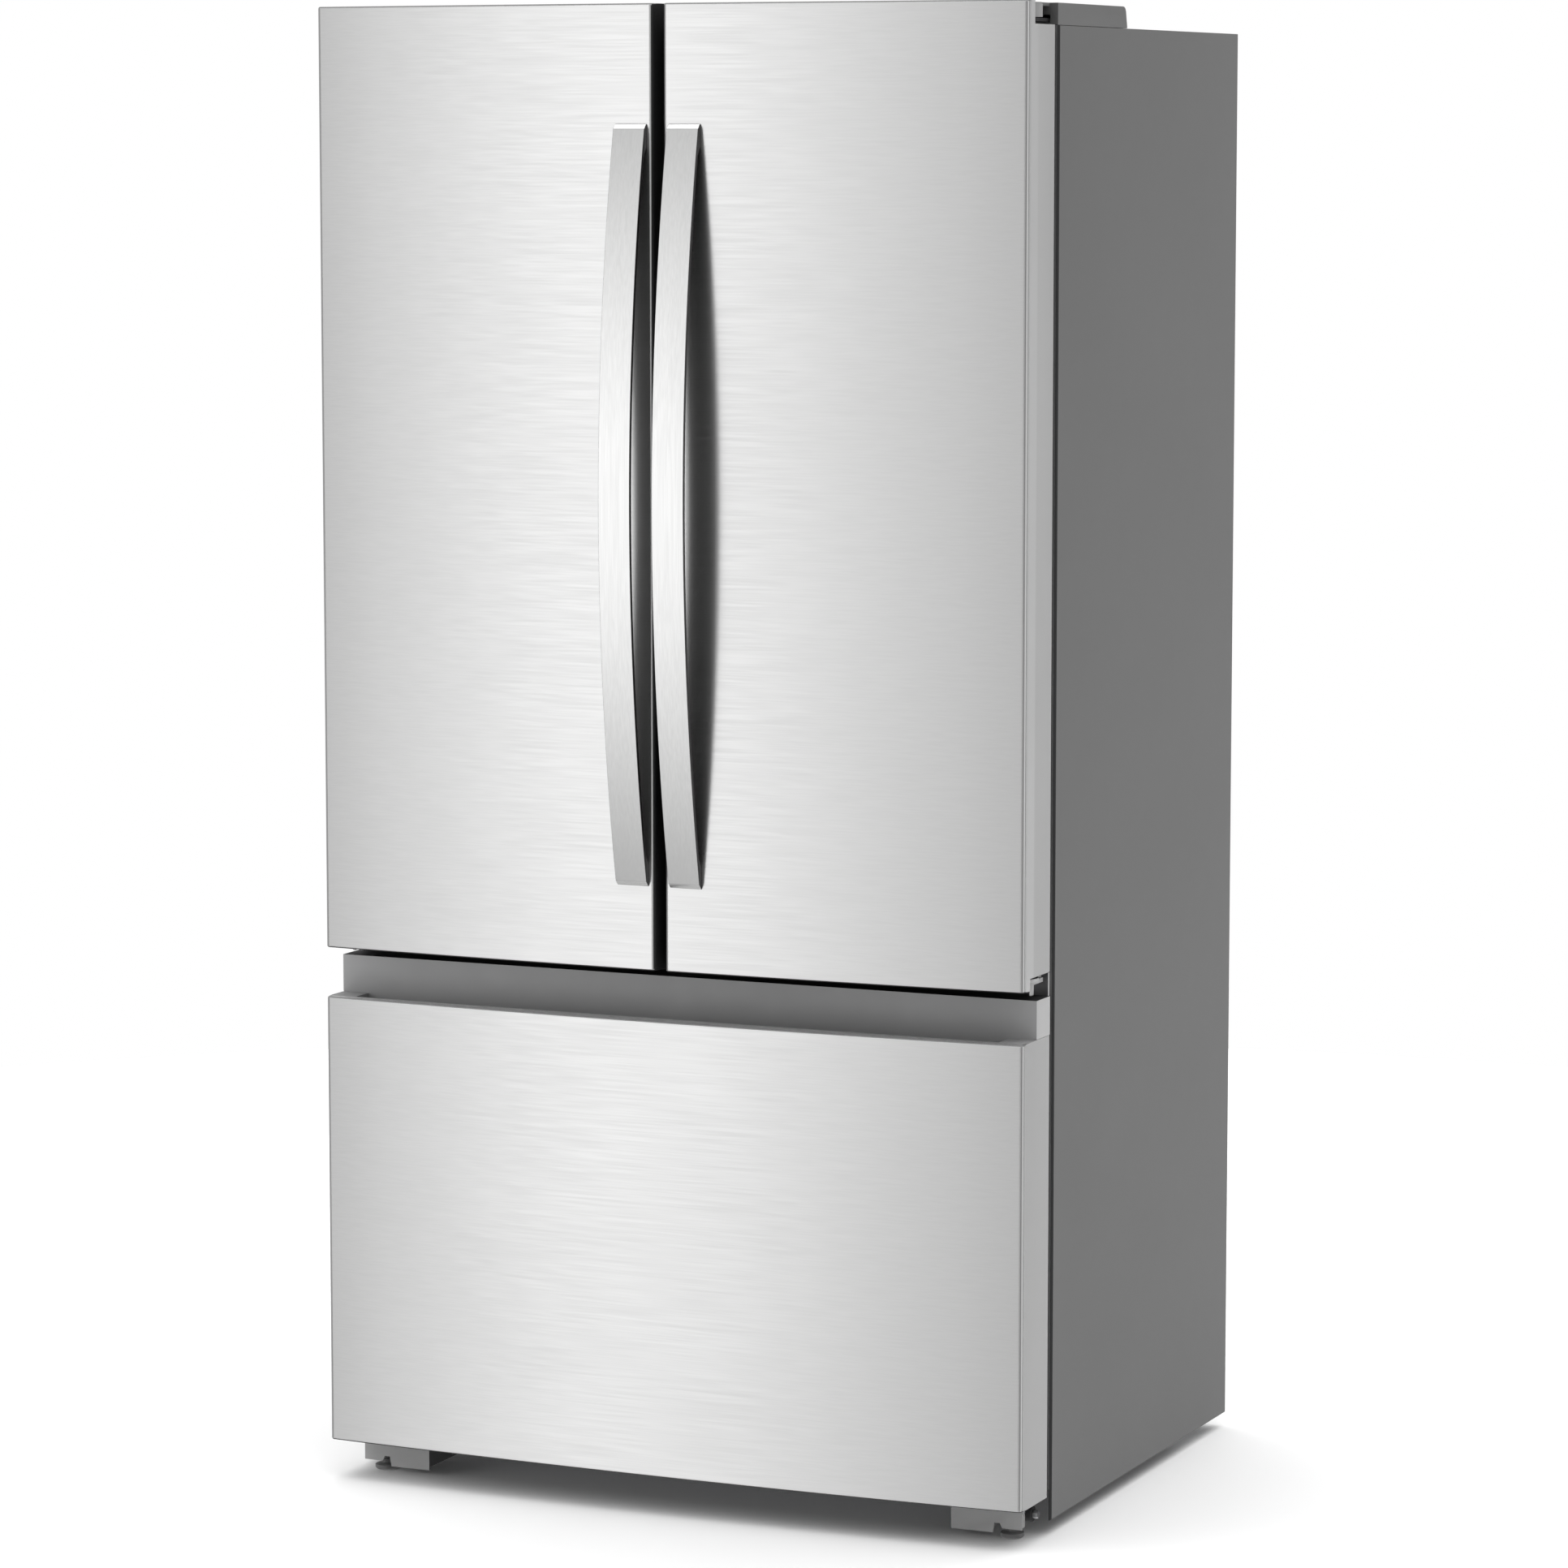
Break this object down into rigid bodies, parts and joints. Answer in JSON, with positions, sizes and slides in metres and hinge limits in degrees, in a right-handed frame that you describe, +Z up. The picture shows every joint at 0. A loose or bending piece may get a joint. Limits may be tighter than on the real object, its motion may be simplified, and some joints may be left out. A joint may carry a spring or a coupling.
{
  "type": "french door refrigerator",
  "caption": "Counter-depth refrigerator with two bowed french doors, bowed bar handles, and a bottom freezer drawer with a recessed finger grip.",
  "frame": {"origin": "on the floor, under the middle of the appliance's overall box", "axes": "+X to the viewer's right when facing the doors, +Y from the doors to the back, +Z up"},
  "size_m": [0.905, 0.7702, 1.78],
  "materials": {
    "stainless": "satin",
    "handle_steel": "polished",
    "cabinet_paint": "satin",
    "insulation_foam": "matte",
    "white_liner": "satin",
    "zinc_steel": "satin",
    "black_steel": "satin",
    "dark_plastic": "matte",
    "shelf_glass": "gloss",
    "clear_plastic": "gloss",
    "grey_plastic": "satin",
    "seal_rubber": "matte",
    "roller_plastic": "matte"
  },
  "bodies": {
    "cabinet": {"air_duct": "white_liner", "back_panel": "cabinet_paint", "base_pan": "zinc_steel", "cabinet_shell": "cabinet_paint", "compressor": "black_steel", "condenser": "black_steel", "condenser_fan_motor": "black_steel", "control_panel": "dark_plastic", "crisper_cover": "shelf_glass", "evaporator_cover": "white_liner", "foam_insulation": "insulation_foam", "freezer_liner": "white_liner", "fresh_food_liner": "white_liner", "left_centre_hinge": "zinc_steel", "left_hinge_cover": "cabinet_paint", "left_leg_bracket": "cabinet_paint", "left_outer_rail": "zinc_steel", "left_top_hinge": "zinc_steel", "left_upper_shelf": "shelf_glass", "machine_cover": "cabinet_paint", "middle_shelf": "shelf_glass", "right_centre_hinge": "zinc_steel", "right_hinge_cover": "cabinet_paint", "right_leg_bracket": "cabinet_paint", "right_outer_rail": "zinc_steel", "right_top_hinge": "zinc_steel", "right_upper_shelf": "shelf_glass"},
    "left_door": {"left_door_panel": "stainless", "left_door_inner": "white_liner", "left_door_seal": "seal_rubber", "left_door_handle": "handle_steel", "left_low_door_bin": "clear_plastic", "left_high_door_bin": "clear_plastic"},
    "right_door": {"right_door_panel": "stainless", "right_door_inner": "white_liner", "right_door_seal": "seal_rubber", "right_door_handle": "handle_steel", "right_low_door_bin": "clear_plastic", "right_high_door_bin": "clear_plastic"},
    "freezer_drawer": {"drawer_panel": "stainless", "drawer_inner": "white_liner", "drawer_seal": "seal_rubber", "drawer_grip": "grey_plastic", "lower_basket": "clear_plastic", "left_inner_rail": "zinc_steel", "right_inner_rail": "zinc_steel"},
    "upper_basket": {"upper_basket": "clear_plastic"},
    "dairy_lid": {"dairy_lid": "clear_plastic"},
    "mullion_flap": {"mullion_flap": "grey_plastic"},
    "condenser_fan": {"condenser_fan": "dark_plastic"},
    "left_crisper": {"left_crisper": "clear_plastic"},
    "left_humidity_slide": {"left_humidity_slide": "grey_plastic"},
    "left_levelling_foot": {"left_levelling_foot": "dark_plastic"},
    "left_front_roller": {"left_front_roller": "roller_plastic"},
    "left_rear_roller": {"left_rear_roller": "roller_plastic"},
    "right_crisper": {"right_crisper": "clear_plastic"},
    "right_humidity_slide": {"right_humidity_slide": "grey_plastic"},
    "right_levelling_foot": {"right_levelling_foot": "dark_plastic"},
    "right_front_roller": {"right_front_roller": "roller_plastic"},
    "right_rear_roller": {"right_rear_roller": "roller_plastic"}
  },
  "joints": [
    {"name": "left_door_hinge", "type": "hinge", "parent": "cabinet", "child": "left_door", "pos_m": [-0.4285, -0.27234, 1.2], "axis": [0, 0, -1], "range_deg": [0, 115]},
    {"name": "right_door_hinge", "type": "hinge", "parent": "cabinet", "child": "right_door", "pos_m": [0.4285, -0.27234, 1.2], "axis": [0, 0, 1], "range_deg": [0, 115]},
    {"name": "mullion_fold", "type": "hinge", "parent": "left_door", "child": "mullion_flap", "pos_m": [-0.033, -0.21934, 1.2], "axis": [0, 0, 1], "range_deg": [0, 90]},
    {"name": "dairy_lid_hinge", "type": "hinge", "parent": "left_door", "child": "dairy_lid", "pos_m": [-0.2185, -0.23284, 1.4955], "axis": [1, 0, 0], "range_deg": [0, 80]},
    {"name": "freezer_drawer_slide", "type": "slide", "parent": "cabinet", "child": "freezer_drawer", "axis": [0, -1, 0], "range_m": [0, 0.4]},
    {"name": "upper_basket_slide", "type": "slide", "parent": "freezer_drawer", "child": "upper_basket", "axis": [0, 1, 0], "range_m": [0, 0.14]},
    {"name": "left_crisper_slide", "type": "slide", "parent": "cabinet", "child": "left_crisper", "axis": [0, -1, 0], "range_m": [0, 0.08]},
    {"name": "left_humidity_travel", "type": "slide", "parent": "left_crisper", "child": "left_humidity_slide", "axis": [1, 0, 0], "range_m": [0, 0.03]},
    {"name": "left_foot_turn", "type": "hinge", "parent": "cabinet", "child": "left_levelling_foot", "pos_m": [-0.414, -0.25034, 0.02], "axis": [0, 0, 1], "continuous": true},
    {"name": "left_front_roller_spin", "type": "hinge", "parent": "cabinet", "child": "left_front_roller", "pos_m": [-0.368, -0.21034, 0.019], "axis": [1, 0, 0], "continuous": true},
    {"name": "left_rear_roller_spin", "type": "hinge", "parent": "cabinet", "child": "left_rear_roller", "pos_m": [-0.405, 0.33266, 0.02], "axis": [1, 0, 0], "continuous": true},
    {"name": "right_crisper_slide", "type": "slide", "parent": "cabinet", "child": "right_crisper", "axis": [0, -1, 0], "range_m": [0, 0.08]},
    {"name": "right_humidity_travel", "type": "slide", "parent": "right_crisper", "child": "right_humidity_slide", "axis": [1, 0, 0], "range_m": [0, 0.03]},
    {"name": "right_foot_turn", "type": "hinge", "parent": "cabinet", "child": "right_levelling_foot", "pos_m": [0.414, -0.25034, 0.02], "axis": [0, 0, 1], "continuous": true},
    {"name": "right_front_roller_spin", "type": "hinge", "parent": "cabinet", "child": "right_front_roller", "pos_m": [0.368, -0.21034, 0.019], "axis": [1, 0, 0], "continuous": true},
    {"name": "right_rear_roller_spin", "type": "hinge", "parent": "cabinet", "child": "right_rear_roller", "pos_m": [0.405, 0.33266, 0.02], "axis": [1, 0, 0], "continuous": true},
    {"name": "condenser_fan_spin", "type": "hinge", "parent": "cabinet", "child": "condenser_fan", "pos_m": [0.02, 0.30966, 0.132], "axis": [1, 0, 0], "continuous": true}
  ],
  "couplings": [
    {"joint": "mullion_fold", "follows": "left_door_hinge", "ratio": 0.7826}
  ]
}
